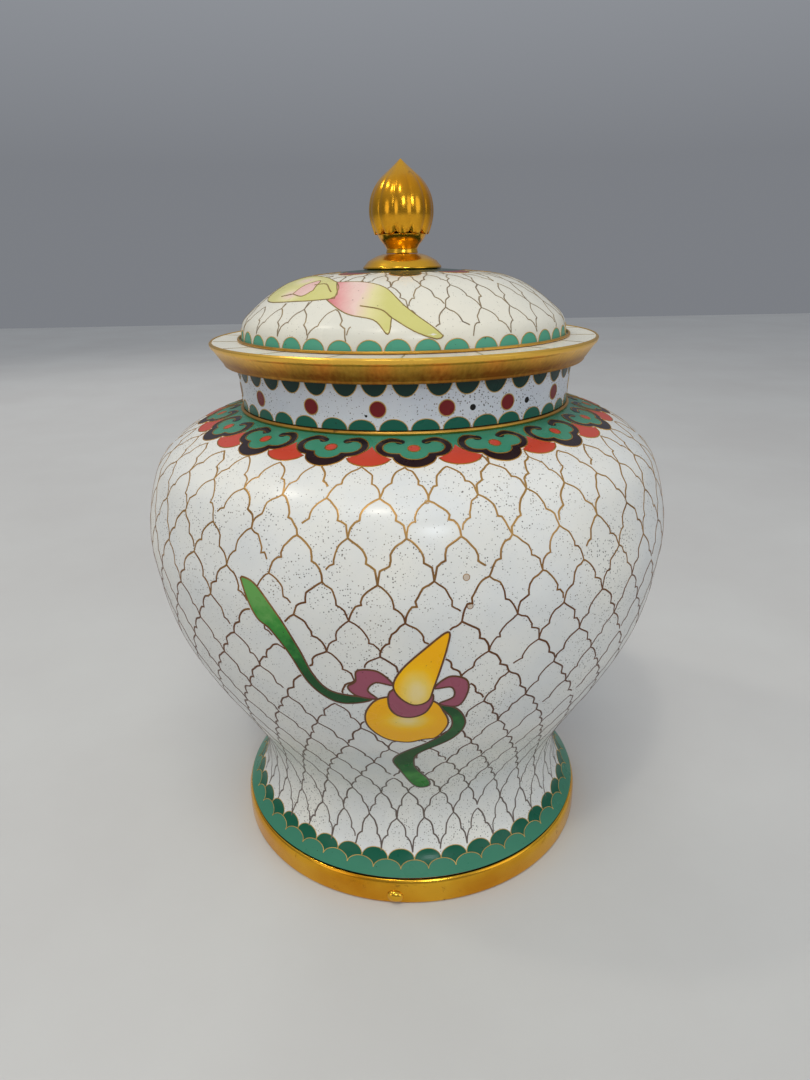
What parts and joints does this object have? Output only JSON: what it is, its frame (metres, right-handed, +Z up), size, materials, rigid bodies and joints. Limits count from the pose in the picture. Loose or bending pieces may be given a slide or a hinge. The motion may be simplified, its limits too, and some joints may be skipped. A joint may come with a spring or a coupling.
{
  "type": "cloisonne ginger jar",
  "caption": "Lidded baluster jar in white cloisonne enamel, with a gilt foot ring, a flared neck and a domed lift-off lid with a bud finial.",
  "frame": {"origin": "centre of the foot ring's underside, on the surface that the jar stands on", "axes": "+Z up along the axis of revolution, through the tip of the finial; -Y towards the painted gourd"},
  "size_m": [0.116, 0.116, 0.1524],
  "materials": {
    "gilt_brass": "gilt, softly polished, turning lines and small wear marks",
    "gilt_wire": "gilt wire ground flush with the enamel, darker where the gilding has worn",
    "plain_brass": "plain turned brass",
    "copper_core": "spun copper, hidden between enamel coats",
    "white_enamel": "polished opaque enamel with fine pinholes",
    "green_enamel": "polished opaque enamel",
    "dark_green_enamel": "polished opaque enamel",
    "black_enamel": "polished opaque enamel",
    "red_enamel": "polished opaque enamel",
    "yellow_enamel": "polished opaque enamel, blended to cream",
    "mauve_enamel": "polished opaque enamel",
    "pink_enamel": "polished opaque enamel, blended to yellow green",
    "turquoise_enamel": "plain fired enamel, not polished"
  },
  "bodies": {
    "jar": {"foot_ring": "gilt_brass", "base_plate": "copper_core", "base_enamel": "turquoise_enamel", "body_shell": "copper_core", "body_lining": "turquoise_enamel", "foot_enamel": "green_enamel", "body_enamel": "white_enamel", "collar_enamel": "green_enamel", "neck_ring_wire": "gilt_wire", "neck_shell": "copper_core", "neck_enamel": "white_enamel", "mouth_rim": "gilt_brass"},
    "lid_collar": {"lid_locating_collar": "gilt_brass"},
    "lid": {"lid_shell": "copper_core", "lid_lining": "turquoise_enamel", "dome_scallop_enamel": "green_enamel", "dome_enamel": "white_enamel", "dome_crown_enamel": "green_enamel", "dome_base_wire": "gilt_wire", "flange_enamel": "white_enamel", "lid_rim_band": "gilt_brass", "finial_base": "gilt_brass", "finial_stem": "gilt_brass", "finial_bud": "gilt_brass", "finial_stud": "plain_brass", "finial_washer": "plain_brass", "finial_nut": "plain_brass"}
  },
  "joints": [
    {"name": "lid_lift", "type": "slide", "parent": "jar", "child": "lid_collar", "axis": [0, 0, 1], "range_m": [0, 0.06]},
    {"name": "lid_turn", "type": "hinge", "parent": "lid_collar", "child": "lid", "pos_m": [0, 0, 0.116], "axis": [0, 0, 1], "continuous": true}
  ]
}
